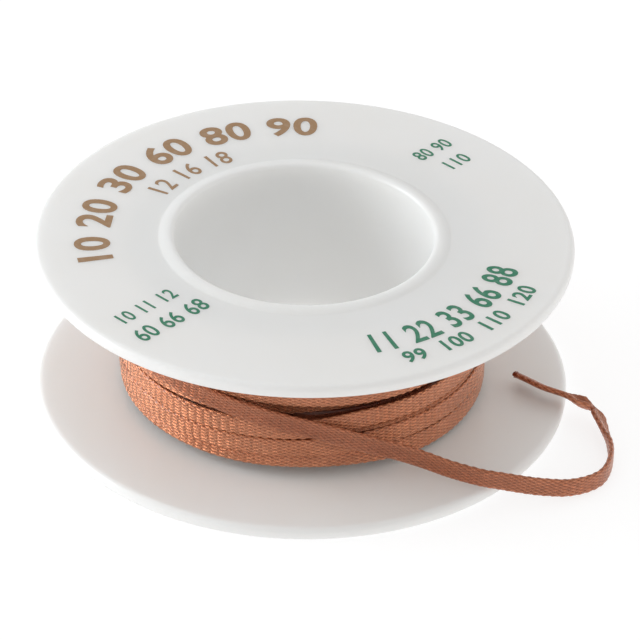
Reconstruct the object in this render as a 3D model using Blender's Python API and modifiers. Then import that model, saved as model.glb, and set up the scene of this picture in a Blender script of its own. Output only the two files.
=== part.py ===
"""Flat copper desoldering braid wound on a white plastic spool, with its loose end.

Metres, +Z up along the spool's axis. The origin is the middle of the lower flange's underside.
"""
import math

import bpy
from mathutils import Vector

OBJECT_NAME = "desoldering_braid_spool"

# Spool: one moulded piece
FLANGE_RADIUS = 0.0285
FLANGE_THICKNESS = 0.0015
RIM_ROUND = 0.0006
SPOOL_HEIGHT = 0.0190
BORE_RADIUS = 0.0137
BORE_LIP_ROUND = 0.0017
HUB_WALL = 0.0015
HUB_ROOT_ROUND = 0.0004

# Flat braid
BRAID_WIDTH = 0.0020
BRAID_THICKNESS = 0.0005

# Winding: turns beside each other, layers on top of each other
WINDING_DEPTH = 0.0036
TURN_GROOVE_DEPTH = 0.0004
TURN_SHOULDER = 0.0005
LAYER_GROOVE_DEPTH = 0.0002

# Clearance between pieces that touch
TOUCH_GAP = 0.0003

# Fineness of the round shapes
SPOOL_STEPS = 72
WINDING_STEPS = 56
LIP_ARC_STEPS = 5
RIM_ARC_STEPS = 2
ROOT_ARC_STEPS = 2
SEAM_MERGE = 0.00001
TAIL_POINT_SPACING = 0.00125
TAIL_BEVEL_RESOLUTION = 2
CURVE_SAMPLES = 24

# Route of the loose end's centreline: slantwise over the winding, off it at the front, out over the
# lower flange, round one loop beside the spool and back over the flange. The last value is how far
# the ribbon leans from standing on its edge, in degrees.
TAIL_ROUTE = [
    (-0.01536, -0.01289, 0.01085, 0),
    (-0.01289, -0.01536, 0.01068, 0),
    (-0.01003, -0.01736, 0.01038, 0),
    (-0.00686, -0.01884, 0.00984, 0),
    (-0.00412, -0.01962, 0.00937, 0),
    (-0.00155, -0.01999, 0.00878, 0),
    (0.00100, -0.02004, 0.00811, 0),
    (0.00360, -0.01995, 0.00728, 0),
    (0.00732, -0.01965, 0.00592, 0),
    (0.01000, -0.01955, 0.00512, 0),
    (0.01272, -0.01975, 0.00428, 0),
    (0.01550, -0.02027, 0.00350, 0),
    (0.01852, -0.02085, 0.00295, 0),
    (0.02057, -0.02115, 0.00275, 0),
    (0.02359, -0.02112, 0.00220, 0),
    (0.02559, -0.02085, 0.00180, 0),
    (0.02759, -0.02040, 0.00145, 0),
    (0.02962, -0.01940, 0.00120, 0),
    (0.03121, -0.01804, 0.00110, 0),
    (0.03209, -0.01629, 0.00110, 0),
    (0.03253, -0.01407, 0.00110, 0),
    (0.03250, -0.01200, 0.00110, -5),
    (0.03232, -0.01031, 0.00115, -15),
    (0.03185, -0.00800, 0.00150, -30),
    (0.03110, -0.00665, 0.00185, -50),
    (0.02973, -0.00614, 0.00240, -75),
    (0.02825, -0.00545, 0.00275, -75),
    (0.02586, -0.00414, 0.00280, -62),
    (0.02442, -0.00287, 0.00275, -57),
    (0.02307, -0.00166, 0.00270, -57),
]


def clear_scene():
    """Remove every object and every collection of parts already there."""
    for item in list(bpy.data.objects):
        bpy.data.objects.remove(item, do_unlink=True)
    for group in list(bpy.data.collections):
        bpy.data.collections.remove(group)


def new_collection(name):
    group = bpy.data.collections.new(name)
    bpy.context.scene.collection.children.link(group)
    return group


def new_material(name, colour, roughness, metallic):
    """Principled material of one colour."""
    material = bpy.data.materials.new(name)
    material.use_nodes = True
    material.diffuse_color = (*colour, 1.0)
    shader = material.node_tree.nodes["Principled BSDF"]
    shader.inputs["Base Color"].default_value = (*colour, 1.0)
    shader.inputs["Roughness"].default_value = roughness
    shader.inputs["Metallic"].default_value = metallic
    return material


def arc(centre_r, centre_z, radius, start_deg, end_deg, steps):
    """Profile points (r, z) of an arc; angles are counted from +r towards +z."""
    points = []
    for i in range(steps + 1):
        angle = math.radians(start_deg + (end_deg - start_deg) * i / steps)
        points.append((centre_r + radius * math.cos(angle), centre_z + radius * math.sin(angle)))
    return points


def turned(name, group, material, profile, steps):
    """Closed profile (r, z), outer side first and downwards, turned once about Z."""
    mesh = bpy.data.meshes.new(name)
    count = len(profile)
    edges = [(i, (i + 1) % count) for i in range(count)]
    mesh.from_pydata([(r, 0.0, z) for r, z in profile], edges, [])
    item = bpy.data.objects.new(name, mesh)
    group.objects.link(item)
    mesh.materials.append(material)
    screw = item.modifiers.new("turn", "SCREW")
    screw.axis = "Z"
    screw.angle = math.tau
    screw.steps = steps
    screw.render_steps = steps
    screw.use_merge_vertices = True
    screw.merge_threshold = SEAM_MERGE
    screw.use_smooth_shade = True
    return item


def spool_profile():
    """Half section of the spool: lips, flanges with rounded rims, hub wall with rounded roots."""
    top = SPOOL_HEIGHT
    hub_outer = BORE_RADIUS + HUB_WALL
    rim_r = FLANGE_RADIUS - RIM_ROUND
    lip_r = BORE_RADIUS + BORE_LIP_ROUND
    root_r = hub_outer + HUB_ROOT_ROUND
    upper_under = top - FLANGE_THICKNESS
    profile = []
    profile += arc(rim_r, top - RIM_ROUND, RIM_ROUND, 90, 0, RIM_ARC_STEPS)
    profile += arc(rim_r, upper_under + RIM_ROUND, RIM_ROUND, 0, -90, RIM_ARC_STEPS)
    profile += arc(root_r, upper_under - HUB_ROOT_ROUND, HUB_ROOT_ROUND, 90, 180, ROOT_ARC_STEPS)
    profile += arc(root_r, FLANGE_THICKNESS + HUB_ROOT_ROUND, HUB_ROOT_ROUND, 180, 270, ROOT_ARC_STEPS)
    profile += arc(rim_r, FLANGE_THICKNESS - RIM_ROUND, RIM_ROUND, 90, 0, RIM_ARC_STEPS)
    profile += arc(rim_r, RIM_ROUND, RIM_ROUND, 0, -90, RIM_ARC_STEPS)
    profile += arc(lip_r, BORE_LIP_ROUND, BORE_LIP_ROUND, 270, 180, LIP_ARC_STEPS)
    profile += arc(lip_r, top - BORE_LIP_ROUND, BORE_LIP_ROUND, 180, 90, LIP_ARC_STEPS)
    return profile


def end_face(inner, outer, end_z, inwards):
    """Ridged end of the winding from its bore to its outside, one ridge for each layer of braid."""
    layers = max(1, round((outer - inner) / (BRAID_THICKNESS + LAYER_GROOVE_DEPTH)))
    pitch = (outer - inner) / layers
    points = []
    for i in range(layers):
        points.append((inner + (i + 0.5) * pitch, end_z))
        if i < layers - 1:
            points.append((inner + (i + 1) * pitch, end_z + inwards * LAYER_GROOVE_DEPTH))
    return points


def winding_profile():
    """Half section of the wound braid: turns on its outside, layers on its ends, plain bore."""
    inner = BORE_RADIUS + HUB_WALL + HUB_ROOT_ROUND + TOUCH_GAP
    outer = inner + WINDING_DEPTH
    groove_r = outer - TURN_GROOVE_DEPTH
    low = FLANGE_THICKNESS + TOUCH_GAP
    high = SPOOL_HEIGHT - FLANGE_THICKNESS - TOUCH_GAP
    end_low = low + LAYER_GROOVE_DEPTH
    end_high = high - LAYER_GROOVE_DEPTH
    turns = max(1, int((high - low) / BRAID_WIDTH))
    pitch = (end_high - end_low) / turns
    profile = [(groove_r, end_high)]
    for i in range(turns):
        turn_top = end_high - i * pitch
        profile.append((outer, turn_top - TURN_SHOULDER))
        profile.append((outer, turn_top - pitch + TURN_SHOULDER))
        profile.append((groove_r, turn_top - pitch))
    profile += reversed(end_face(inner, groove_r, low, 1))
    profile.append((inner, end_low))
    profile.append((inner, end_high))
    profile += end_face(inner, groove_r, high, -1)
    return profile


def smooth_point(p0, p1, p2, p3, t):
    """Point on the smooth curve from p1 to p2, for t from 0 to 1."""
    return 0.5 * (2 * p1 + (p2 - p0) * t + (2 * p0 - 5 * p1 + 4 * p2 - p3) * t ** 2
                  + (3 * p1 - p0 - 3 * p2 + p3) * t ** 3)


def smooth_route(route, spacing):
    """Points at an even spacing, read from the smooth curve through the route's own points."""
    keys = [Vector(point) for point in route]
    keys = [2 * keys[0] - keys[1]] + keys + [2 * keys[-1] - keys[-2]]
    dense = []
    for i in range(len(keys) - 3):
        for j in range(CURVE_SAMPLES):
            dense.append(smooth_point(*keys[i:i + 4], j / CURVE_SAMPLES))
    dense.append(keys[-2])
    run = [0.0]
    for a, b in zip(dense, dense[1:]):
        run.append(run[-1] + (b.xyz - a.xyz).length)
    count = max(2, round(run[-1] / spacing))
    points = []
    seg = 0
    for i in range(count + 1):
        target = run[-1] * i / count
        while seg < len(run) - 2 and run[seg + 1] < target:
            seg += 1
        share = (target - run[seg]) / (run[seg + 1] - run[seg])
        points.append(dense[seg].lerp(dense[seg + 1], share))
    return points


def make_spool(group):
    plastic = new_material("white_plastic", (0.82, 0.82, 0.80), 0.35, 0.0)
    return turned("spool", group, plastic, spool_profile(), SPOOL_STEPS)


def make_winding(group, copper):
    return turned("braid_winding", group, copper, winding_profile(), WINDING_STEPS)


def make_tail(group, copper):
    """Flat ribbon with rounded edges along the loose end's route."""
    curve = bpy.data.curves.new("braid_tail", "CURVE")
    curve.dimensions = "3D"
    curve.twist_mode = "Z_UP"
    curve.extrude = (BRAID_WIDTH - BRAID_THICKNESS) / 2
    curve.bevel_depth = BRAID_THICKNESS / 2
    curve.bevel_resolution = TAIL_BEVEL_RESOLUTION
    curve.use_fill_caps = True
    points = smooth_route(TAIL_ROUTE, TAIL_POINT_SPACING)
    spline = curve.splines.new("POLY")
    spline.points.add(len(points) - 1)
    for spline_point, point in zip(spline.points, points):
        spline_point.co = (*point.xyz, 1.0)
        spline_point.tilt = math.radians(point.w)
    curve.materials.append(copper)
    item = bpy.data.objects.new("braid_tail", curve)
    group.objects.link(item)
    return item


def main():
    clear_scene()
    group = new_collection(OBJECT_NAME)
    copper = new_material("copper_braid", (0.55, 0.27, 0.17), 0.45, 0.6)
    make_spool(group)
    make_winding(group, copper)
    make_tail(group, copper)


main()
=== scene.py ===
"""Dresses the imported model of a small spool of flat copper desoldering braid.

Metres throughout, +Z up along the spool's axis. An angle round the spool is counted from the front,
which is -Y, towards +X.
"""
import math

import bmesh
import bpy
import numpy as np
from bpy.props import FloatProperty, FloatVectorProperty, IntProperty, PointerProperty
from mathutils import Matrix, Vector


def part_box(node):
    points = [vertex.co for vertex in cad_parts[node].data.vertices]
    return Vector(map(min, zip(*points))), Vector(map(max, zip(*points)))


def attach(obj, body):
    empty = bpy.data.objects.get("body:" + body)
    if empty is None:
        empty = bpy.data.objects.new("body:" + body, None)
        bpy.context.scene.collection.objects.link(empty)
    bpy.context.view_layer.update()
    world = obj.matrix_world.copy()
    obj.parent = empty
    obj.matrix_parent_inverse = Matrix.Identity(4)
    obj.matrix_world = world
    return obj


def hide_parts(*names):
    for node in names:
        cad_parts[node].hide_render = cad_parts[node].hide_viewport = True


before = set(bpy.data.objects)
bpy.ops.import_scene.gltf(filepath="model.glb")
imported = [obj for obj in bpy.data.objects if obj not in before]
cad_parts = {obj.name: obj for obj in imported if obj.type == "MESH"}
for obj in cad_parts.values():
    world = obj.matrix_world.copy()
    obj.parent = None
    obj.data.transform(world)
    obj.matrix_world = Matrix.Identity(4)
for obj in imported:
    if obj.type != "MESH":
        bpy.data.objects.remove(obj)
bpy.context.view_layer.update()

bl_info = {
    "name": "Desoldering Braid Spool",
    "version": (1, 0, 0),
    "blender": (4, 5, 0),
    "location": "View3D > Sidebar > Braid Spool",
    "description": "Flat copper desoldering braid wound on a white plastic spool, with its loose end",
    "category": "Add Mesh",
}

BODY = "root"
PICTURE = 640  # pixels each way, for the places that are given in the picture

SPOOL_LOW, SPOOL_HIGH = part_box("spool")
WINDING_LOW, WINDING_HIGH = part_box("braid_winding")

# Fineness of the meshes
SPOOL_SIDES = 224
RIM_STEPS = 5
LIP_STEPS = 10
BEAD_STEPS = 8
CORNER_STEPS = 6
ROOT_STEPS = 3
CORE_SIDES = 160
FRONT_COLUMNS = 36
TAIL_COLUMNS = 60
ROW_STEP = 0.000125
NEAR = 0.00002  # how close a point has to be to the place it is picked by

BRAID_GIRTH = 0.0046  # length once round the braid's section
CORE_GAP = 0.0002  # between the hub's rounded root and the inner winding
STRAY_OUT = 0.000025  # how far a turn strays from its run, outwards and upwards
STRAY_UP = 0.00003

# Winding: what lies on its outside, as (angle in degrees, height of the middle, outer radius there, how
# far its upper edge leans inwards in degrees). One whole turn is 360 degrees, and the ends are sunk below
# the turns beside them.
LOWER_TURNS = [
    (-150, 0.00392, 0.01880, 0), (-120, 0.00388, 0.01915, 5), (-90, 0.00378, 0.01938, 9),
    (-60, 0.00370, 0.01944, 10), (-30, 0.00370, 0.01946, 10), (0, 0.00384, 0.01944, 10),
    (20, 0.00368, 0.01940, 9), (40, 0.00317, 0.01940, 5), (60, 0.00315, 0.01944, 3),
    (90, 0.00324, 0.01956, 0), (180, 0.00392, 0.01962, 0), (240, 0.00442, 0.01964, 0),
    (300, 0.00490, 0.01962, 0), (320, 0.00494, 0.01964, 0), (340, 0.00506, 0.01964, 0),
    (360, 0.00522, 0.01962, 0),
    (372, 0.00540, 0.01961, 0), (386, 0.00562, 0.01962, 0), (405, 0.00571, 0.01966, 0),
    (450, 0.00576, 0.01964, 0), (540, 0.00620, 0.01962, 0), (600, 0.00662, 0.01964, 0),
    (660, 0.00706, 0.01964, 0), (690, 0.00714, 0.01966, 0), (710, 0.00732, 0.01964, 0),
    (720, 0.00750, 0.01963, 0), (735, 0.00816, 0.01960, 0), (760, 0.00836, 0.01960, 0),
    (785, 0.00862, 0.01962, 0), (840, 0.00874, 0.01964, 0), (900, 0.00880, 0.01962, 0),
    (960, 0.00906, 0.01964, 0), (1020, 0.00932, 0.01960, 0), (1040, 0.00938, 0.01954, 0),
    (1053, 0.00946, 0.01934, 0), (1066, 0.00958, 0.01880, 0), (1082, 0.00970, 0.01805, 0),
    (1105, 0.00984, 0.01775, 0), (1145, 0.00988, 0.01800, 0), (1172, 0.00990, 0.01890, 0),
    (1192, 0.00992, 0.01912, 0), (1300, 0.01010, 0.01912, 0), (1350, 0.01020, 0.01905, 0),
    (1370, 0.01022, 0.01870, 0), (1390, 0.01022, 0.01780, 0),
]
UPPER_TURNS = [
    (-1260, 0.01590, 0.01875, 0), (-1230, 0.01600, 0.01895, 0), (-1200, 0.01606, 0.01925, 0),
    (-1170, 0.01608, 0.01950, 0), (-1140, 0.01606, 0.01962, 0), (-1080, 0.01585, 0.01964, 0),
    (-1035, 0.01566, 0.01966, 0), (-900, 0.01556, 0.01964, 0), (-840, 0.01464, 0.01966, 0),
    (-780, 0.01418, 0.01964, 0), (-720, 0.01368, 0.01966, 0), (-675, 0.01348, 0.01964, 0),
    (-540, 0.01342, 0.01964, 0), (-480, 0.01250, 0.01966, 0), (-420, 0.01202, 0.01964, 0),
    (-387, 0.01186, 0.01966, 0), (-360, 0.01152, 0.01966, 0), (-340, 0.01132, 0.01964, 0),
    (-315, 0.01128, 0.01964, 0), (-180, 0.01126, 0.01964, 0), (-140, 0.01122, 0.01974, 0),
    (-100, 0.01110, 0.02000, 0), (-70, 0.01098, 0.02022, 0), (-50, 0.01085, 0.02030, 0),
]
# A turn of the layer below, which shows as a narrow strip between two of the lower turns
TUCKED_TURN = [
    (-12, 0.00668, 0.01880, 0), (0, 0.00680, 0.01915, 0), (14, 0.00692, 0.01938, 0),
    (40, 0.00702, 0.01944, 0), (60, 0.00714, 0.01940, 0), (78, 0.00726, 0.01915, 0),
    (92, 0.00734, 0.01880, 0),
]
TUCKED_SHARE = 0.2

# Route of the loose end's centreline: slantwise over the winding, off it at the front, out over the
# lower flange, round one loop beside the spool and back over the flange. The last value is how far
# the ribbon leans from standing on its edge, in degrees.
TAIL_ROUTE = [
    (-0.01536, -0.01289, 0.01085, 0), (-0.01289, -0.01536, 0.01068, 0), (-0.01003, -0.01736, 0.01038, 0),
    (-0.00686, -0.01884, 0.00984, 0), (-0.00412, -0.01962, 0.00937, 0), (-0.00155, -0.01999, 0.00878, 0),
    (0.00100, -0.02004, 0.00811, 0), (0.00360, -0.01995, 0.00728, 0), (0.00732, -0.01965, 0.00592, 0),
    (0.01000, -0.01955, 0.00512, 0), (0.01272, -0.01975, 0.00428, 0), (0.01550, -0.02027, 0.00350, 0),
    (0.01852, -0.02085, 0.00295, 0), (0.02057, -0.02115, 0.00275, 0), (0.02359, -0.02112, 0.00220, 0),
    (0.02559, -0.02085, 0.00180, 0), (0.02759, -0.02040, 0.00145, 0), (0.02962, -0.01940, 0.00120, 0),
    (0.03121, -0.01804, 0.00110, 0), (0.03209, -0.01629, 0.00110, 0), (0.03253, -0.01407, 0.00110, 0),
    (0.03250, -0.01200, 0.00110, -5), (0.03218, -0.01031, 0.00115, -15), (0.03166, -0.00800, 0.00150, -30),
    (0.03110, -0.00665, 0.00185, -50), (0.02973, -0.00614, 0.00240, -75), (0.02825, -0.00545, 0.00275, -75),
    (0.02586, -0.00414, 0.00280, -62), (0.02442, -0.00287, 0.00275, -57), (0.02307, -0.00166, 0.00270, -57),
]
# Where the loose end was pinched: (place on the route, share of the width, how far its edges are bent
# towards each other in degrees, how far it is twisted back upright in degrees)
TAIL_PINCHES = [
    (0, 1.00, 30, 0), (4, 1.00, 45, 0), (10, 1.00, 40, 0), (14, 1.00, 12, 0), (17, 0.98, 8, 0),
    (20, 0.97, 8, 0), (21, 0.96, 10, 0), (22, 0.98, 20, -12), (22.5, 1.00, 24, -15),
    (23, 1.02, 30, -16), (23.6, 0.92, 50, -8), (24, 0.24, 60, 0), (24.3, 0.85, 100, 0),
    (24.8, 1.20, 150, 0), (25.3, 1.00, 110, 4), (26, 0.80, 20, 19),
    (27, 0.82, 10, 8), (28, 0.90, 10, 4), (29, 0.90, 10, 4),
]
FRAY_WIRES = 22
FRAY_LENGTH = 0.00035
WIRE_SIDES = 6
WIRE_RADIUS = 0.00004
WIRE_ROOT = 0.0002  # how deep a cut wire stands in the braid
CUT_DARK = 0.0008  # length of the darker stretch at the cut
CUT_CREST = 0.1
TAIL_SHADE_CREST = (0.14, 0.46)  # painted shade: the loose end's copper is painted darker, with less between its hollows and its tops

READING = math.radians(46)  # the way that the straight lines run

# Lines of plain numerals: words, height of the type, share of its breadth, added weight, radius of the
# baseline, angle of the middle, whether they are bent with their tops out or in, or straight
BROWN_LINES = [
    ("10 20 30 60 80 90", 0.0051, 0.97, 0.00013, 0.0206, -128, "out"),
    ("12 16 18", 0.0035, 0.80, 0.00003, 0.0166, -134, "out"),
]
GREEN_LINES = [
    ("10 11 12", 0.0026, 0.80, 0.00003, 0.0215, -46, "straight"),
    ("60 66 68", 0.0031, 0.80, 0.00004, 0.0215, -36, "straight"),
    ("80 90", 0.0026, 0.80, 0.00003, 0.0225, 140, "straight"),
    ("110", 0.0026, 0.85, 0.00003, 0.0225, 131, "straight"),
    ("11 22 33 66 88", 0.0046, 0.76, 0.00008, 0.0232, 46, "in"),
    ("99  100  110  120", 0.0027, 0.95, 0.00006, 0.0260, 46, "in"),
]

# Lights: name, the stage's power for it, place, size, colour
LIGHTS = [
    ("key_light", "key", (-0.34, 0.03, 0.12), 0.24, (0.95, 1.0, 1.03)),
    ("side_light", "side", (0.36, 0.06, 0.05), 0.30, (1.0, 0.97, 0.92)),
    ("top_light", "fill", (-0.05, 0.15, 0.60), 0.50, (1.0, 1.0, 1.0)),
]


class SpoolSizes(bpy.types.PropertyGroup):
    """The moulded spool."""

    radius: FloatProperty(name="Flange radius", description="Radius of the two flanges",
                          default=SPOOL_HIGH.x, unit="LENGTH")
    height: FloatProperty(name="Height", description="From the lower flange's underside to the top",
                          default=SPOOL_HIGH.z, unit="LENGTH")
    flange: FloatProperty(name="Flange thickness", description="Thickness of one flange",
                          default=0.0015, unit="LENGTH")
    rim_round: FloatProperty(name="Rim rounding", description="Rounding of the flanges' rims",
                             default=0.0006, unit="LENGTH")
    bore: FloatProperty(name="Bore radius", description="Radius of the hole through the hub",
                        default=0.0137, unit="LENGTH")
    lip_round: FloatProperty(name="Lip rounding",
                             description="Rounding where the bore meets the lower flange",
                             default=0.0017, unit="LENGTH")
    bead_width: FloatProperty(name="Bead width", description="Width of the bead round the bore's upper end",
                              default=0.0017, unit="LENGTH")
    bead_rise: FloatProperty(name="Bead rise", description="How far the bead stands above the upper flange",
                             default=0.00032, unit="LENGTH")
    bead_corner: FloatProperty(name="Bead corner", description="Rounding from the bead into the bore",
                               default=0.0005, unit="LENGTH")
    hub_wall: FloatProperty(name="Hub wall", description="Thickness of the hub's wall",
                            default=0.0015, unit="LENGTH")
    root_round: FloatProperty(name="Root rounding", description="Rounding where the hub meets the flanges",
                              default=0.0004, unit="LENGTH")
    colour: FloatVectorProperty(name="Plastic", description="Colour of the white plastic",
                                default=(0.815, 0.812, 0.80), subtype="COLOR", size=3, min=0, max=1)


class BraidSizes(bpy.types.PropertyGroup):
    """The flat copper braid."""

    width: FloatProperty(name="Width", description="Width of the flat braid", default=0.0020, unit="LENGTH")
    thickness: FloatProperty(name="Thickness", description="Thickness of the flat braid",
                             default=0.0005, unit="LENGTH")
    strands: IntProperty(name="Strands", description="Strands counted once round the braid",
                         default=12, min=4)
    wires: IntProperty(name="Wires", description="Wires that lie side by side in one strand",
                       default=5, min=1)
    plait: FloatProperty(name="Plait length", description="Length of braid from one crossing to the next",
                         default=0.00097, unit="LENGTH")
    squareness: FloatProperty(name="Squareness", description="2 is an oval section, more is squarer",
                              default=3.8, min=2)
    rise: FloatProperty(name="Strand rise", description="How far a strand rises where it crosses another",
                        default=0.00007, unit="LENGTH")
    crown: FloatProperty(name="Strand rounding", description="How far a strand falls away at its sides",
                         default=0.00008, unit="LENGTH")
    colour: FloatVectorProperty(name="Copper", description="Colour of the bare copper wires",
                                default=(0.80, 0.325, 0.165), subtype="COLOR", size=3, min=0, max=1)
    # Painted shade: this darker, redder colour stands for the shade and the copper's reflections of itself
    # between the strands.
    hollow_shade_colour: FloatVectorProperty(name="Copper in the hollows",
                                       description="Colour of the copper between the strands",
                                       default=(0.28, 0.06, 0.024), subtype="COLOR", size=3, min=0, max=1)


class PrintSizes(bpy.types.PropertyGroup):
    """The plain numerals printed on the upper flange."""

    film: FloatProperty(name="Ink thickness", description="Thickness of the printed ink",
                        default=0.00002, unit="LENGTH")
    brown: FloatVectorProperty(name="Brown ink", description="Colour of the brown numerals",
                               default=(0.33, 0.19, 0.09), subtype="COLOR", size=3, min=0, max=1)
    green: FloatVectorProperty(name="Green ink", description="Colour of the green numerals",
                               default=(0.02, 0.19, 0.10), subtype="COLOR", size=3, min=0, max=1)


class StageSizes(bpy.types.PropertyGroup):
    """Camera, floor and lights."""

    distance: FloatProperty(name="Camera distance", description="From the spool's middle to the camera",
                            default=0.4055, unit="LENGTH")
    elevation: FloatProperty(name="Camera elevation", description="How far the camera looks down",
                             default=math.radians(33.32), subtype="ANGLE")
    roll: FloatProperty(name="Camera roll", description="Turn of the picture about its middle",
                        default=0.0164, subtype="ANGLE")
    middle_x: FloatProperty(name="Spool's middle across", description="Place in the picture, in pixels",
                            default=302.85)
    middle_y: FloatProperty(name="Spool's middle down", description="Place in the picture, in pixels",
                            default=310.24)
    lens: FloatProperty(name="Lens", description="Focal length in millimetres", default=213.86)
    floor: FloatVectorProperty(name="Floor", description="Colour of the floor",
                               default=(0.30, 0.30, 0.30), subtype="COLOR", size=3, min=0, max=1)
    floor_glow: FloatProperty(name="Floor light", description="Light that the floor gives off", default=0.77)
    world: FloatProperty(name="Room light", description="Strength of the even light all round", default=0.67)
    key: FloatProperty(name="Key light", description="Power of the soft light at the left, in watts",
                       default=0.80)
    side: FloatProperty(name="Side light", description="Power of the soft light at the right, in watts",
                        default=0.20)
    fill: FloatProperty(name="Top light", description="Power of the soft light from above, in watts",
                        default=0.25)


class BraidSpool(bpy.types.PropertyGroup):
    """All the sizes and colours of the model."""

    spool: PointerProperty(type=SpoolSizes)
    braid: PointerProperty(type=BraidSizes)
    print: PointerProperty(type=PrintSizes)
    stage: PointerProperty(type=StageSizes)


# Small helpers for modelling

def start_fresh():
    """Leave edit mode and select nothing, because an operator acts on all that is selected."""
    if bpy.context.object and bpy.context.object.mode != "OBJECT":
        bpy.ops.object.mode_set(mode="OBJECT")
    bpy.ops.object.select_all(action="DESELECT")


def edit_all(mode="VERT"):
    bpy.ops.object.mode_set(mode="EDIT")
    bpy.ops.mesh.select_mode(type=mode)
    bpy.ops.mesh.select_all(action="SELECT")


def pick(item, kind, test):
    """In edit mode, select only the faces, edges or verts that pass the test."""
    bpy.ops.mesh.select_mode(type={"faces": "FACE", "edges": "EDGE", "verts": "VERT"}[kind])
    bpy.ops.mesh.select_all(action="DESELECT")
    shape = bmesh.from_edit_mesh(item.data)
    found = [part for part in getattr(shape, kind) if test(part)]
    if not found:
        raise RuntimeError(f"{item.name}: no {kind} found at this place")
    for part in found:
        part.select_set(True)
    shape.select_flush_mode()
    bmesh.update_edit_mesh(item.data)


def radius_of(point):
    return math.hypot(point.x, point.y)


def on_circle(radius, height):
    """Test for the edges of one circle about the axis."""
    def test(edge):
        return all(abs(radius_of(v.co) - radius) < NEAR and abs(v.co.z - height) < NEAR for v in edge.verts)
    return test


def scale_about_axis(share):
    bpy.ops.transform.resize(value=(share, share, 1), center_override=(0, 0, 0))


def close_up(angle):
    """From edit mode: turn the faces outwards and shade all but edges sharper than the angle smooth."""
    bpy.ops.mesh.select_all(action="SELECT")
    bpy.ops.mesh.normals_make_consistent(inside=False)
    bpy.ops.object.mode_set(mode="OBJECT")
    bpy.ops.object.shade_smooth_by_angle(angle=math.radians(angle))


def settle(item, name, material):
    """Name a finished piece, give it its material and let it ride on the model's body."""
    item.name = name
    item.data.name = name
    item.data.materials.clear()
    item.data.materials.append(material)
    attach(item, BODY)
    return item


def eased(keys, places):
    """The keys' other columns at the places given, on a smooth curve through them all.

    The first column of the keys is the place, in rising order.
    """
    keys = np.asarray(keys, float)
    marks, values = keys[:, 0], keys[:, 1:]
    slopes = np.gradient(values, marks, axis=0)
    left = np.clip(np.searchsorted(marks, places, side="right") - 1, 0, len(marks) - 2)
    span = (marks[left + 1] - marks[left])[:, None]
    t = ((places - marks[left]) / span[:, 0])[:, None]
    return ((2 * t ** 3 - 3 * t ** 2 + 1) * values[left] + (t ** 3 - 2 * t ** 2 + t) * span * slopes[left]
            + (3 * t ** 2 - 2 * t ** 3) * values[left + 1] + (t ** 3 - t ** 2) * span * slopes[left + 1])


def unit(rows):
    return rows / np.linalg.norm(rows, axis=1, keepdims=True)


def run_along(line):
    """Length of the line up to each of its points."""
    return np.concatenate([[0.0], np.cumsum(np.linalg.norm(np.diff(line, axis=0), axis=1))])


def wobble(places, lengths, seed):
    """Smooth irregular wave between about -1 and 1, made of sines of the lengths given."""
    rng = np.random.default_rng(seed)
    waves = [np.sin(math.tau * places / length + rng.uniform(0, math.tau)) for length in lengths]
    return sum(waves) / len(waves)


# Braid

def section(braid, samples=4000):
    """Outline of the flat braid: place round it from 0 to 1, across, outwards, and the outward normal.

    It starts at the middle of the back. The front is at 0.5.
    """
    turn = np.linspace(-math.pi / 2, 1.5 * math.pi, samples)
    power = 2 / braid.squareness
    across = braid.width / 2 * np.sign(np.cos(turn)) * np.abs(np.cos(turn)) ** power
    outwards = braid.thickness / 2 * np.sign(np.sin(turn)) * np.abs(np.sin(turn)) ** power
    line = np.stack([across, outwards], 1)
    run = run_along(line)
    steps = np.gradient(line, run, axis=0)
    normal = unit(np.stack([steps[:, 1], -steps[:, 0]], 1))
    return run / run[-1], line, normal


def plait(along, around, braid):
    """Height of the plaited strands, for places counted in steps from one strand to the next.

    Strands of two families cross. Each goes over and under the others in turn, and is rounded.
    Returns the height, and for each place the number of the strand that shows there.
    """
    a, b = around + along, along - around
    near_a, near_b = np.round(a), np.round(b)
    sign_a, sign_b = 1 - 2 * np.mod(near_a, 2), 1 - 2 * np.mod(near_b, 2)
    high_a = braid.rise * sign_a * np.cos(math.pi * b) - braid.crown * np.abs(2 * (a - near_a)) ** 4
    high_b = -braid.rise * sign_b * np.cos(math.pi * a) - braid.crown * np.abs(2 * (b - near_b)) ** 4
    strand = np.where(high_a > high_b, np.mod(near_a, braid.strands),
                      braid.strands + np.mod(near_b, braid.strands))
    return np.maximum(np.maximum(high_a, high_b), -braid.crown / 2), strand.astype(int)


def bent(across, outwards, half_width, angle):
    """Section points with the ribbon's edges bent towards its outward side by the angle in all."""
    radius = half_width * 2 / np.maximum(angle, 0.01)[:, None]
    turn = across / radius
    lift = radius * (1 - np.sin(half_width / radius) / (half_width / radius))
    return (radius - outwards) * np.sin(turn), radius - (radius - outwards) * np.cos(turn) - lift


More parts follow.
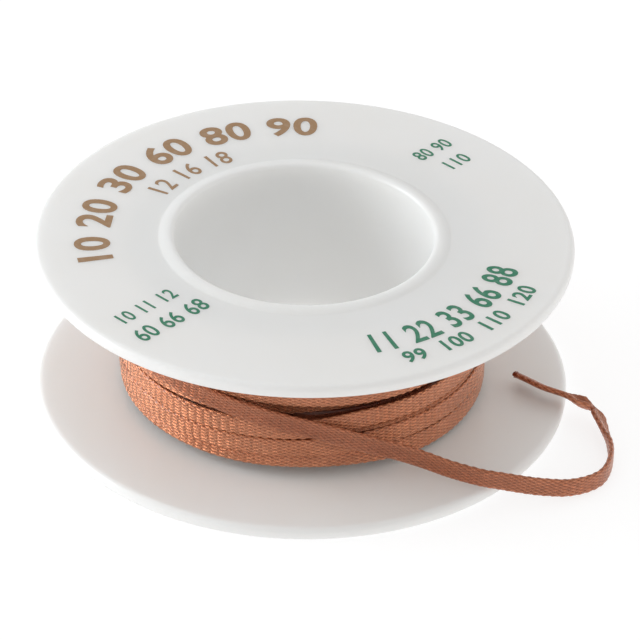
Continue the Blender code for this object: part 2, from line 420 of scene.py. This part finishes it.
def braid_ribbon(name, braid, line, across, outwards, run, columns, hidden_back, share=None, bend=None):
    """Mesh of a length of plaited braid, closed at both ends, from a grid primitive.

    The line, its directions and its run have one row for each row of the mesh. A free length, one with a
    share of its width and a bend for each row, is darker at its cut end.
    """
    place, outline, normal = section(braid)
    if hidden_back:
        seen = np.linspace(0.2, 0.8, columns)
        stops = np.concatenate([[0.0, 0.08, 0.15], seen, [0.85, 0.92, 1.0]])
    else:
        stops = np.linspace(0.0, 1.0, columns + 1)
    y, x, ny, nx = (np.interp(stops, place, values)
                    for values in (outline[:, 0], outline[:, 1], normal[:, 0], normal[:, 1]))
    height, strand = plait(run[:, None] / braid.plait, stops[None, :] * braid.strands, braid)
    if hidden_back:
        height = height * np.clip((0.3 - np.abs(stops - 0.5)) / 0.03, 0, 1)[None, :]
    # The crest, from 0 in the hollows to 1 on the strands' tops, sets how much painted shade the copper
    # gets.
    top = braid.rise
    bottom = -braid.crown / 2
    crest = (height - bottom) / (top - bottom)
    rng = np.random.default_rng(7)
    tint = rng.uniform(0, 1, 2 * braid.strands)[strand]
    y_all = y + height * ny
    x_all = x + height * nx
    if share is not None:
        y_all, x_all = bent(y_all * share[:, None], x_all, braid.width / 2 * share[:, None], bend)
        # Painted shade: the loose end's copper is darker and flatter overall, and darker still towards its
        # cut end.
        crest = TAIL_SHADE_CREST[0] + (TAIL_SHADE_CREST[1] - TAIL_SHADE_CREST[0]) * crest
        crest = crest * np.clip((run[-1] - run) / CUT_DARK, CUT_CREST, 1)[:, None]
    points = (line[:, None, :] + across[:, None, :] * y_all[..., None]
              + outwards[:, None, :] * x_all[..., None])

    start_fresh()
    rows, count = points.shape[:2]
    bpy.ops.mesh.primitive_grid_add(x_subdivisions=rows - 1, y_subdivisions=count - 1, size=1)
    item = bpy.context.object
    mesh = item.data
    flat = np.empty(len(mesh.vertices) * 3, np.float32)
    mesh.vertices.foreach_get("co", flat)
    flat = flat.reshape(-1, 3)
    i = np.round((flat[:, 0] + 0.5) * (rows - 1)).astype(int)
    j = np.round((flat[:, 1] + 0.5) * (count - 1)).astype(int)
    mesh.vertices.foreach_set("co", points[i, j].astype(np.float32).ravel())
    for attribute, values in (("crest", crest), ("tint", tint)):
        layer = mesh.attributes.new(attribute, "FLOAT", "POINT")
        layer.data.foreach_set("value", values[i, j].astype(np.float32))
    corner = np.empty(len(mesh.loops), np.int32)
    mesh.loops.foreach_get("vertex_index", corner)
    mesh.uv_layers[0].name = "plait"
    uv = np.stack([run[i[corner]] / braid.plait, stops[j[corner]] * braid.strands], 1)
    mesh.uv_layers["plait"].data.foreach_set("uv", uv.astype(np.float32).ravel())
    edit_all()
    bpy.ops.mesh.remove_doubles(threshold=1e-7)
    bpy.ops.mesh.select_all(action="DESELECT")
    bpy.ops.mesh.select_non_manifold()
    bpy.ops.mesh.fill_holes(sides=0)
    close_up(80)
    item.name = name
    return item


def turn_line(turns, seed):
    """Centreline and directions of a ribbon that lies round the spool, a row for each step of the mesh."""
    braid = bpy.context.scene.braid_spool.braid
    first, last = turns[0][0], turns[-1][0]
    length = math.radians(last - first) * WINDING_HIGH.x
    angles = np.linspace(first, last, round(length / ROW_STEP))
    height, radius, lean = eased(turns, angles).T
    ease_out = np.clip((last - angles) / 40, 0, 1)
    radius = radius - braid.thickness / 2 + STRAY_OUT * wobble(angles, (97, 61, 43), seed) * ease_out
    height = height + STRAY_UP * wobble(angles, (83, 57, 37), seed + 1) * ease_out
    phi = np.radians(angles)
    line = np.stack([radius * np.sin(phi), -radius * np.cos(phi), height], 1)
    along = unit(np.gradient(line, axis=0))
    radial = np.stack([np.sin(phi), -np.cos(phi), np.zeros_like(phi)], 1)
    radial = unit(radial - along * np.sum(radial * along, axis=1, keepdims=True))
    upright = np.cross(radial, along)
    lean = np.radians(lean)[:, None]
    outwards = radial * np.cos(lean) + upright * np.sin(lean)
    across = upright * np.cos(lean) - radial * np.sin(lean)
    return angles, line, across, outwards, run_along(line)


def turn_pieces(name, turns, splits, seed, run_ends_at_zero, share=1.0):
    """The ribbon of one group of turns, at a share of its width, cut into pieces at the angles given."""
    scene = bpy.context.scene.braid_spool
    angles, line, across, outwards, run = turn_line(turns, seed)
    if run_ends_at_zero:
        run = run - run[-1]
    cuts = [0] + [int(np.searchsorted(angles, split)) for split in splits] + [len(angles) - 1]
    made = []
    for number, (low, high) in enumerate(zip(cuts, cuts[1:]), 1):
        rows = slice(low, high + 1)
        made.append(braid_ribbon(f"{name}_{number}", scene.braid, line[rows], across[rows] * share,
                                 outwards[rows], run[rows], FRONT_COLUMNS, True))
    return made


def tail_line():
    """Centreline, directions, run, share of width and bend of the loose end, a row for each mesh step."""
    route = np.array(TAIL_ROUTE)
    marks = np.arange(len(route))
    fine = np.linspace(0, marks[-1], 4000)
    values = eased(np.column_stack([marks, route]), fine)
    run = run_along(values[:, :3])
    count = round(run[-1] / ROW_STEP)
    even = np.linspace(0, run[-1], count)
    line = np.stack([np.interp(even, run, values[:, k]) for k in range(3)], 1)
    place = np.interp(even, run, fine)
    share, bend, twist = eased(TAIL_PINCHES, place).T
    lean = np.radians(np.interp(even, run, values[:, 3]) + twist)[:, None]
    along = unit(np.gradient(line, axis=0))
    up = np.array([[0.0, 0.0, 1.0]])
    upright = unit(up - along * along[:, 2:])
    level = np.cross(along, upright)
    across = upright * np.cos(lean) + level * np.sin(lean)
    outwards = level * np.cos(lean) - upright * np.sin(lean)
    return line, across, outwards, even, share, np.radians(bend)


# Materials

def new_material(name):
    material = bpy.data.materials.new(name)
    material.use_nodes = True
    return material, material.node_tree, material.node_tree.nodes["Principled BSDF"]


def node(tree, kind, **values):
    made = tree.nodes.new(kind)
    for key, value in values.items():
        if key in made.inputs:
            made.inputs[key].default_value = value
        else:
            setattr(made, key, value)
    return made


def calc(tree, operation, *terms):
    """A Math node's result. A term is a number or another node's output."""
    made = tree.nodes.new("ShaderNodeMath")
    made.operation = operation
    for slot, term in zip(made.inputs, terms):
        if isinstance(term, bpy.types.NodeSocket):
            tree.links.new(term, slot)
        else:
            slot.default_value = term
    return made.outputs[0]


def blend_colours(tree, share, first, second):
    """A colour Mix node's result. A colour is three numbers or another node's output."""
    made = tree.nodes.new("ShaderNodeMix")
    made.data_type = "RGBA"
    tree.links.new(share, made.inputs["Factor"])
    for slot, colour in ((made.inputs[6], first), (made.inputs[7], second)):
        if isinstance(colour, bpy.types.NodeSocket):
            tree.links.new(colour, slot)
        else:
            slot.default_value = (*colour, 1.0)
    return made.outputs[2]


def map_range(tree, value, low, high, new_low, new_high):
    made = node(tree, "ShaderNodeMapRange")
    tree.links.new(value, made.inputs[0])
    for slot, number in zip(list(made.inputs)[1:5], (low, high, new_low, new_high)):
        slot.default_value = number
    return made.outputs[0]


def noise(tree, coordinates, scale, detail=3.0, stretch=None):
    """A Noise Texture's value on the coordinates, stretched by three factors where these are given."""
    if stretch:
        mapping = node(tree, "ShaderNodeMapping")
        mapping.inputs["Scale"].default_value = stretch
        tree.links.new(coordinates, mapping.inputs["Vector"])
        coordinates = mapping.outputs["Vector"]
    made = node(tree, "ShaderNodeTexNoise", Scale=scale, Detail=detail)
    tree.links.new(coordinates, made.inputs["Vector"])
    return made.outputs[0]


def bump(tree, shader, height, distance, strength=1.0, below=None):
    made = node(tree, "ShaderNodeBump", Distance=distance, Strength=strength)
    tree.links.new(height, made.inputs["Height"])
    if below:
        tree.links.new(below, made.inputs["Normal"])
    tree.links.new(made.outputs["Normal"], shader.inputs["Normal"])
    return made.outputs["Normal"]


def white_plastic(spool):
    """Moulded white plastic: satin, faintly uneven, with a little wear in its gloss."""
    material, tree, shader = new_material("moulded_white_plastic")
    place = node(tree, "ShaderNodeTexCoord").outputs["Object"]
    clouds = noise(tree, place, 90, 3)
    shade = map_range(tree, clouds, 0.3, 0.7, 0.0, 1.0)
    warm = tuple(c * k for c, k in zip(spool.colour, (0.985, 0.98, 0.97)))
    tree.links.new(blend_colours(tree, shade, spool.colour, warm), shader.inputs["Base Color"])
    gloss = noise(tree, place, 420, 4)
    tree.links.new(map_range(tree, gloss, 0.3, 0.7, 0.30, 0.40), shader.inputs["Roughness"])
    shader.inputs["IOR"].default_value = 1.49
    shader.inputs["Subsurface Weight"].default_value = 0.5
    shader.inputs["Subsurface Radius"].default_value = (1.0, 0.96, 0.92)
    shader.inputs["Subsurface Scale"].default_value = 0.003
    ripple = noise(tree, place, 160, 2)
    grain = noise(tree, place, 2600, 3)
    first = node(tree, "ShaderNodeBump", Distance=0.00006, Strength=0.35)
    tree.links.new(ripple, first.inputs["Height"])
    bump(tree, shader, grain, 0.000006, 0.5, first.outputs["Normal"])
    return material


def copper_wires(tree, braid):
    """Height of the fine wires that lie side by side in each strand, from the plait's own map."""
    split = node(tree, "ShaderNodeSeparateXYZ")
    tree.links.new(node(tree, "ShaderNodeUVMap", uv_map="plait").outputs["UV"], split.inputs[0])
    along, around = split.outputs["X"], split.outputs["Y"]
    a = calc(tree, "ADD", around, along)
    b = calc(tree, "SUBTRACT", along, around)
    cell = calc(tree, "ADD", calc(tree, "ROUND", a), calc(tree, "ROUND", b))
    odd = calc(tree, "PINGPONG", cell, 1.0)
    chosen = node(tree, "ShaderNodeMix")
    for slot, source in ((0, odd), (2, a), (3, b)):
        tree.links.new(source, chosen.inputs[slot])
    wire = calc(tree, "MULTIPLY", chosen.outputs[0], math.pi * braid.wires)
    return calc(tree, "ABSOLUTE", calc(tree, "COSINE", wire))


def plaited_copper(braid):
    """Bare copper braid with a trace of rosin: brighter strands, painted shade in the hollows, which are
    darker and redder, fine wires.
    """
    material, tree, shader = new_material("plaited_copper")
    place = node(tree, "ShaderNodeTexCoord").outputs["Object"]
    wires = copper_wires(tree, braid)
    crest = node(tree, "ShaderNodeAttribute", attribute_name="crest").outputs["Fac"]
    tint = node(tree, "ShaderNodeAttribute", attribute_name="tint").outputs["Fac"]
    patches = noise(tree, place, 260, 4)
    specks = noise(tree, place, 2400, 3)
    # Painted shade: the crest share blends from the copper's colour to the darker, redder hollow colour,
    # which stands for the shade between the strands.
    share = map_range(tree, crest, 0.1, 0.8, 0.0, 1.0)
    colour = blend_colours(tree, share, braid.hollow_shade_colour, braid.colour)
    pale = tuple(min(1.0, c * k) for c, k in zip(braid.colour, (1.06, 1.12, 1.16)))
    dull = tuple(c * k for c, k in zip(braid.colour, (0.86, 0.80, 0.74)))
    worn = blend_colours(tree, map_range(tree, patches, 0.35, 0.65, 0.0, 1.0), dull, pale)
    colour = blend_colours(tree, calc(tree, "MULTIPLY", share, 0.55), colour, worn)
    shade = map_range(tree, tint, 0.0, 1.0, 0.88, 1.06)
    shade = calc(tree, "MULTIPLY", shade, map_range(tree, specks, 0.3, 0.7, 0.94, 1.05))
    scaled = node(tree, "ShaderNodeVectorMath", operation="SCALE")
    tree.links.new(colour, scaled.inputs[0])
    tree.links.new(shade, scaled.inputs["Scale"])
    tree.links.new(scaled.outputs[0], shader.inputs["Base Color"])
    shader.inputs["Metallic"].default_value = 0.92
    tree.links.new(map_range(tree, specks, 0.3, 0.7, 0.18, 0.28), shader.inputs["Roughness"])
    shader.inputs["Coat Weight"].default_value = 0.6
    shader.inputs["Coat Roughness"].default_value = 0.22
    bump(tree, shader, wires, 0.00003, 1.0)
    return material


def ink(name, colour):
    """Printed ink: matt, a little uneven where the plastic shows through."""
    material, tree, shader = new_material(name)
    place = node(tree, "ShaderNodeTexCoord").outputs["Object"]
    thin = map_range(tree, noise(tree, place, 1800, 3), 0.45, 0.8, 0.0, 0.35)
    paler = tuple(0.75 * c + 0.25 * 0.8 for c in colour)
    tree.links.new(blend_colours(tree, thin, colour, paler), shader.inputs["Base Color"])
    shader.inputs["Roughness"].default_value = 0.5
    return material


def once(name, make, *values):
    """The material of that name, made on first use."""
    return bpy.data.materials.get(name) or make(*values)


def copper():
    return once("plaited_copper", plaited_copper, bpy.context.scene.braid_spool.braid)


# Operators

class AddCamera(bpy.types.Operator):
    """Add the camera at the picture's viewpoint"""

    bl_idname = "scene.braid_camera"
    bl_label = "Camera"

    def execute(self, context):
        stage = context.scene.braid_spool.stage
        middle = Vector((0, 0, SPOOL_HIGH.z / 2))
        bpy.ops.object.camera_add()
        camera = context.object
        camera.name = "camera"
        camera.data.lens = stage.lens
        camera.data.sensor_width = 36
        camera.data.clip_start = 0.01
        focal = stage.lens / camera.data.sensor_width * PICTURE
        yaw = math.atan2(stage.middle_x - PICTURE / 2, focal)
        pitch = math.atan2(stage.middle_y - PICTURE / 2, math.hypot(focal, stage.middle_x - PICTURE / 2))
        looking = Matrix.Rotation(math.pi / 2 - stage.elevation, 3, "X")
        back = looking @ Vector((0, 0, stage.distance))
        turned = (looking @ Matrix.Rotation(yaw, 3, "Y") @ Matrix.Rotation(pitch, 3, "X")
                  @ Matrix.Rotation(stage.roll, 3, "Z"))
        camera.matrix_world = Matrix.Translation(middle + back) @ turned.to_4x4()
        context.scene.camera = camera
        return {"FINISHED"}


class AddTail(bpy.types.Operator):
    """Add the loose end of the braid, with the wires at its cut"""

    bl_idname = "mesh.braid_tail"
    bl_label = "Loose end"

    def execute(self, context):
        braid = context.scene.braid_spool.braid
        line, across, outwards, run, share, bend = tail_line()
        tail = braid_ribbon("loose_tail", braid, line, across, outwards, run, TAIL_COLUMNS, False,
                            share, bend)
        settle(tail, "loose_tail", copper())
        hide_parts("braid_tail")
        wires = self.frayed_wires(line, across, outwards, run)
        return {"FINISHED"}

    def frayed_wires(self, line, across, outwards, run):
        """Short cut wires that stand out of the end of the braid."""
        rng = np.random.default_rng(3)
        ahead = unit(line[-1:] - line[-9:-8])[0]
        made = []
        for _ in range(FRAY_WIRES):
            side, out = rng.uniform(-0.00036, 0.00036), rng.uniform(-0.0003, 0.0003)
            spread = ahead + across[-1] * rng.normal(0, 0.25) + outwards[-1] * rng.normal(0, 0.25)
            length = FRAY_LENGTH * rng.uniform(0.5, 1.0)
            root = line[-1] + across[-1] * side + outwards[-1] * out - ahead * WIRE_ROOT
            start_fresh()
            bpy.ops.mesh.primitive_cylinder_add(vertices=WIRE_SIDES, radius=WIRE_RADIUS,
                                                depth=length + WIRE_ROOT,
                                                location=(0, 0, (length + WIRE_ROOT) / 2))
            wire = bpy.context.object
            turn = Vector((0, 0, 1)).rotation_difference(Vector(spread)).to_matrix().to_4x4()
            wire.matrix_world = Matrix.Translation(Vector(root)) @ turn @ wire.matrix_world
            made.append(wire)
        start_fresh()
        for wire in made:
            wire.select_set(True)
        bpy.context.view_layer.objects.active = made[0]
        bpy.ops.object.join()
        bpy.ops.object.transform_apply(location=True, rotation=True, scale=True)
        wires = bpy.context.object
        mesh = wires.data
        for attribute, value in (("crest", 0.3), ("tint", 0.3)):
            values = np.full(len(mesh.vertices), value, np.float32)
            mesh.attributes.new(attribute, "FLOAT", "POINT").data.foreach_set("value", values)
        mesh.uv_layers[0].name = "plait"
        bpy.ops.object.shade_smooth_by_angle(angle=math.radians(40))
        return settle(wires, "cut_wires", copper())


class AddLowerTurns(bpy.types.Operator):
    """Add the turns of braid on the lower half of the winding"""

    bl_idname = "mesh.braid_lower_turns"
    bl_label = "Lower turns"

    def execute(self, context):
        for piece in turn_pieces("lower_turns", LOWER_TURNS, [585], 11, False):
            settle(piece, piece.name, copper())
            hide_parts("braid_winding")
        return {"FINISHED"}


class AddTuckedTurn(bpy.types.Operator):
    """Add the strip of an inner turn that shows between two of the lower turns"""

    bl_idname = "mesh.braid_tucked_turn"
    bl_label = "Tucked turn"

    def execute(self, context):
        for piece in turn_pieces("tucked_turn", TUCKED_TURN, [], 31, False, TUCKED_SHARE):
            settle(piece, "tucked_turn", copper())
            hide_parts("braid_winding")
        return {"FINISHED"}


class AddUpperTurns(bpy.types.Operator):
    """Add the turns of braid on the upper half, the last of which leads into the loose end"""

    bl_idname = "mesh.braid_upper_turns"
    bl_label = "Upper turns"

    def execute(self, context):
        for piece in turn_pieces("upper_turns", UPPER_TURNS, [-540], 23, True):
            settle(piece, piece.name, copper())
            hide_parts("braid_winding")
        return {"FINISHED"}


class AddCore(bpy.types.Operator):
    """Add the layer of braid below the outer turns"""

    bl_idname = "mesh.braid_core"
    bl_label = "Inner winding"

    turns: IntProperty(name="Turns", description="Turns side by side in the layer", default=7)
    radius: FloatProperty(name="Radius", description="Outer radius of the layer", default=0.0178,
                          unit="LENGTH")
    hollow: FloatProperty(name="Hollow", description="Depth of the hollow between turns",
                          default=0.00035, unit="LENGTH")

    def execute(self, context):
        spool, braid = context.scene.braid_spool.spool, context.scene.braid_spool.braid
        low, high = WINDING_LOW.z, WINDING_HIGH.z
        inner = spool.bore + spool.hub_wall + spool.root_round + CORE_GAP
        start_fresh()
        bpy.ops.mesh.primitive_cylinder_add(vertices=CORE_SIDES, radius=self.radius, depth=high - low,
                                            location=(0, 0, (low + high) / 2), end_fill_type="NGON")
        core = context.object
        bpy.ops.object.transform_apply(location=True, rotation=True, scale=True)
        edit_all("FACE")
        pick(core, "faces", lambda face: abs(face.normal.z) > 0.9)
        bpy.ops.mesh.inset(thickness=self.radius - inner)
        pick(core, "faces", lambda face: abs(face.normal.z) > 0.9 and len(face.verts) == CORE_SIDES)
        bpy.ops.mesh.bridge_edge_loops()
        pitch = (high - low) / self.turns
        shares = {0.0: 1.0, 0.12: 0.45, 0.3: 0.1, 0.5: 0.0, 0.7: 0.1, 0.88: 0.45}
        rings = [(low + (turn + share) * pitch, fall) for turn in range(self.turns)
                 for share, fall in shares.items()]
        for height, _ in rings[1:]:
            bpy.ops.mesh.select_all(action="SELECT")
            bpy.ops.mesh.bisect(plane_co=(0, 0, height), plane_no=(0, 0, 1))
        for height, fall in rings + [(high, 1.0)]:
            pick(core, "verts",
                 lambda v: abs(v.co.z - height) < NEAR and radius_of(v.co) > self.radius - NEAR)
            scale_about_axis(1 - fall * self.hollow / self.radius)
        close_up(60)
        self.map_plait(core.data, braid)
        settle(core, "inner_winding", copper())
        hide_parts("braid_winding")
        return {"FINISHED"}

    def map_plait(self, mesh, braid):
        """The plait's own map, laid round the axis, and the attributes that the copper reads."""
        strands = round(math.tau * self.radius / braid.plait / 2) * 2
        step = BRAID_GIRTH / braid.strands
        uv = mesh.uv_layers[0] if mesh.uv_layers else mesh.uv_layers.new()
        uv.name = "plait"
        for face in mesh.polygons:
            middle = math.atan2(face.center.y, face.center.x)
            for corner in face.loop_indices:
                point = mesh.vertices[mesh.loops[corner].vertex_index].co
                angle = math.atan2(point.y, point.x)
                angle += math.tau * round((middle - angle) / math.tau)
                uv.data[corner].uv = (angle / math.tau * strands, point.z / step)
        # Painted shade: a low crest gives the whole inner layer the dark, red hollow colour, which stands
        # for the shade in the deep groove and the gaps between the outer turns.
        for attribute, value in (("crest", 0.22), ("tint", 0.5)):
            values = np.full(len(mesh.vertices), value, np.float32)
            mesh.attributes.new(attribute, "FLOAT", "POINT").data.foreach_set("value", values)


class AddSpool(bpy.types.Operator):
    """Add the moulded spool: two flanges, the hub and its bore"""

    bl_idname = "mesh.braid_spool_body"
    bl_label = "Spool"

    def execute(self, context):
        spool = context.scene.braid_spool.spool
        top, thick = spool.height, spool.flange
        start_fresh()
        bpy.ops.mesh.primitive_cylinder_add(vertices=SPOOL_SIDES, radius=spool.radius, depth=top,
                                            location=(0, 0, top / 2), end_fill_type="NGON")
        body = context.object
        bpy.ops.object.transform_apply(location=True, rotation=True, scale=True)
        edit_all("FACE")
        for height in (thick, top - thick):
            pick(body, "faces", lambda face: abs(face.normal.z) < 0.1)
            bpy.ops.mesh.bisect(plane_co=(0, 0, height), plane_no=(0, 0, 1))
        pick(body, "faces", lambda face: face.normal.z < -0.9)
        bpy.ops.mesh.inset(thickness=spool.radius - spool.bore)
        pick(body, "faces", lambda face: face.normal.z > 0.9)
        reach = spool.radius
        for radius, rise in self.bead(spool):
            bpy.ops.mesh.inset(thickness=reach - radius)
            bpy.ops.transform.translate(value=(0, 0, top + rise - self.height_of_picked(body)))
            reach = radius
        pick(body, "faces", lambda face: abs(face.normal.z) > 0.9 and len(face.verts) == SPOOL_SIDES)
        bpy.ops.mesh.bridge_edge_loops()
        hub = spool.bore + spool.hub_wall
        pick(body, "faces", lambda face: thick < face.calc_center_median().z < top - thick
             and radius_of(face.calc_center_median()) > hub)
        bpy.ops.mesh.extrude_region()
        scale_about_axis(hub / spool.radius)
        for radius, heights, rounding, steps in (
                (spool.radius, (0, thick, top - thick, top), spool.rim_round, RIM_STEPS),
                (spool.bore, (0,), spool.lip_round, LIP_STEPS),
                (hub, (thick, top - thick), spool.root_round, ROOT_STEPS)):
            for height in heights:
                pick(body, "edges", on_circle(radius, height))
                bpy.ops.mesh.bevel(offset=rounding, segments=steps, profile=0.5, affect="EDGES")
        pick(body, "faces", lambda face: abs(face.normal.z) > 0.9999)
        bpy.ops.mesh.inset(thickness=0.0002)
        close_up(50)
        plastic = once("moulded_white_plastic", white_plastic, spool)
        settle(body, "spool_body", plastic)
        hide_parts("spool")
        return {"FINISHED"}

    def bead(self, spool):
        """Rings of the bead round the bore's upper end, from its foot inwards, as (radius, rise)."""
        foot, crest = spool.bore + spool.bead_width, spool.bore + spool.bead_corner
        rings = []
        for step in range(BEAD_STEPS + 1):
            share = step / BEAD_STEPS
            rings.append((foot + (crest - foot) * share, spool.bead_rise * math.sin(math.pi / 2 * share)))
        for step in range(1, CORNER_STEPS + 1):
            angle = math.pi / 2 * step / CORNER_STEPS
            rings.append((crest - spool.bead_corner * math.sin(angle),
                          spool.bead_rise - spool.bead_corner * (1 - math.cos(angle))))
        return rings

    def height_of_picked(self, item):
        """In edit mode, the height of the one face that is selected."""
        shape = bmesh.from_edit_mesh(item.data)
        return next(face.calc_center_median().z for face in shape.faces if face.select)


class AddPrint(bpy.types.Operator):
    """Add the plain numerals on the upper flange"""

    bl_idname = "mesh.braid_print"
    bl_label = "Printed numerals"

    def execute(self, context):
        printed = context.scene.braid_spool.print
        for name, colour, lines in (("brown_numerals", printed.brown, BROWN_LINES),
                                    ("green_numerals", printed.green, GREEN_LINES)):
            made = [self.line_of_text(context, *line) for line in lines]
            start_fresh()
            for part in made:
                part.select_set(True)
            context.view_layer.objects.active = made[0]
            bpy.ops.object.join()
            settle(context.object, name, once(name + "_ink", ink, name + "_ink", colour))
        return {"FINISHED"}

    def line_of_text(self, context, words, size, squeeze, weight, radius, middle, way):
        """One line of numerals as a thin solid: bent round the axis with its tops out or in, or straight."""
        printed, spool = context.scene.braid_spool.print, context.scene.braid_spool.spool
        start_fresh()
        bpy.ops.object.text_add()
        text = context.object
        text.data.body = words
        text.data.size = size
        text.data.space_character = 1.08
        text.data.align_x = "CENTER"
        text.data.offset = weight
        text.data.resolution_u = 6
        text.data.extrude = printed.film / 2
        bpy.ops.object.convert(target="MESH")
        item = context.object
        count = len(item.data.vertices)
        flat = np.empty(count * 3, np.float32)
        item.data.vertices.foreach_get("co", flat)
        x, y, z = flat.reshape(-1, 3).T
        phi = math.radians(middle)
        if way == "straight":
            level_x = radius * math.sin(phi) + x * squeeze * math.cos(READING) - y * math.sin(READING)
            level_y = -radius * math.cos(phi) + x * squeeze * math.sin(READING) + y * math.cos(READING)
        else:
            side = 1 if way == "in" else -1
            reach = radius - side * y
            phi = phi + side * x * squeeze / radius
            level_x, level_y = reach * np.sin(phi), -reach * np.cos(phi)
        points = np.stack([level_x, level_y, spool.height + z + printed.film / 2], 1)
        item.data.vertices.foreach_set("co", points.astype(np.float32).ravel())
        edit_all()
        bpy.ops.mesh.remove_doubles(threshold=1e-6)
        close_up(40)
        return item


class AddStage(bpy.types.Operator):
    """Add the pale floor and the soft lights"""

    bl_idname = "scene.braid_stage"
    bl_label = "Floor and lights"

    def execute(self, context):
        stage = context.scene.braid_spool.stage
        context.scene.view_settings.view_transform = "Standard"
        start_fresh()
        bpy.ops.mesh.primitive_plane_add(size=3, location=(0, 0, -0.00004))
        floor = context.object
        floor.name = "floor"
        material, _, shader = new_material("pale_floor")
        shader.inputs["Base Color"].default_value = (*stage.floor, 1.0)
        shader.inputs["Emission Color"].default_value = (1, 1, 1, 1)
        shader.inputs["Emission Strength"].default_value = stage.floor_glow
        shader.inputs["Roughness"].default_value = 0.9
        shader.inputs["Specular IOR Level"].default_value = 0.1
        floor.data.materials.append(material)
        world = bpy.data.worlds.new("even_light")
        world.use_nodes = True
        world.node_tree.nodes["Background"].inputs["Color"].default_value = (1, 1, 1, 1)
        world.node_tree.nodes["Background"].inputs["Strength"].default_value = stage.world
        context.scene.world = world
        for name, power, place, size, colour in LIGHTS:
            self.soft_light(context, name, place, size, getattr(stage, power), colour)
        return {"FINISHED"}

    def soft_light(self, context, name, place, size, power, colour):
        start_fresh()
        bpy.ops.object.light_add(type="AREA", location=place)
        lamp = context.object
        lamp.name = name
        lamp.data.shape = "DISK"
        lamp.data.size = size
        lamp.data.energy = power
        lamp.data.color = colour
        lamp.rotation_euler = (Vector(place) - Vector((0, 0, 0.01))).to_track_quat("Z", "Y").to_euler()


class BraidSpoolPanel(bpy.types.Panel):
    """Buttons for the pieces, and the sizes and colours that they are made with"""

    bl_idname = "VIEW3D_PT_braid_spool"
    bl_label = "Braid Spool"
    bl_space_type = "VIEW_3D"
    bl_region_type = "UI"
    bl_category = "Braid Spool"

    def draw(self, context):
        layout = self.layout
        for operator in OPERATORS:
            layout.operator(operator.bl_idname)
        for group in ("spool", "braid", "print", "stage"):
            box = layout.box()
            box.label(text=group.capitalize())
            sizes = getattr(context.scene.braid_spool, group)
            for name in sizes.__annotations__:
                box.prop(sizes, name)


OPERATORS = (AddCamera, AddTail, AddLowerTurns, AddTuckedTurn, AddUpperTurns, AddCore, AddSpool, AddPrint,
             AddStage)
CLASSES = (SpoolSizes, BraidSizes, PrintSizes, StageSizes, BraidSpool) + OPERATORS + (BraidSpoolPanel,)


def register():
    for item in CLASSES:
        bpy.utils.register_class(item)
    bpy.types.Scene.braid_spool = PointerProperty(type=BraidSpool)


def unregister():
    del bpy.types.Scene.braid_spool
    for item in reversed(CLASSES):
        bpy.utils.unregister_class(item)


def main():
    register()
    bpy.ops.scene.braid_camera()
    bpy.ops.mesh.braid_tail()
    bpy.ops.mesh.braid_lower_turns()
    bpy.ops.mesh.braid_tucked_turn()
    bpy.ops.mesh.braid_upper_turns()
    bpy.ops.mesh.braid_core()
    bpy.ops.mesh.braid_spool_body()
    bpy.ops.mesh.braid_print()
    bpy.ops.scene.braid_stage()


if __name__ == "__main__":
    main()
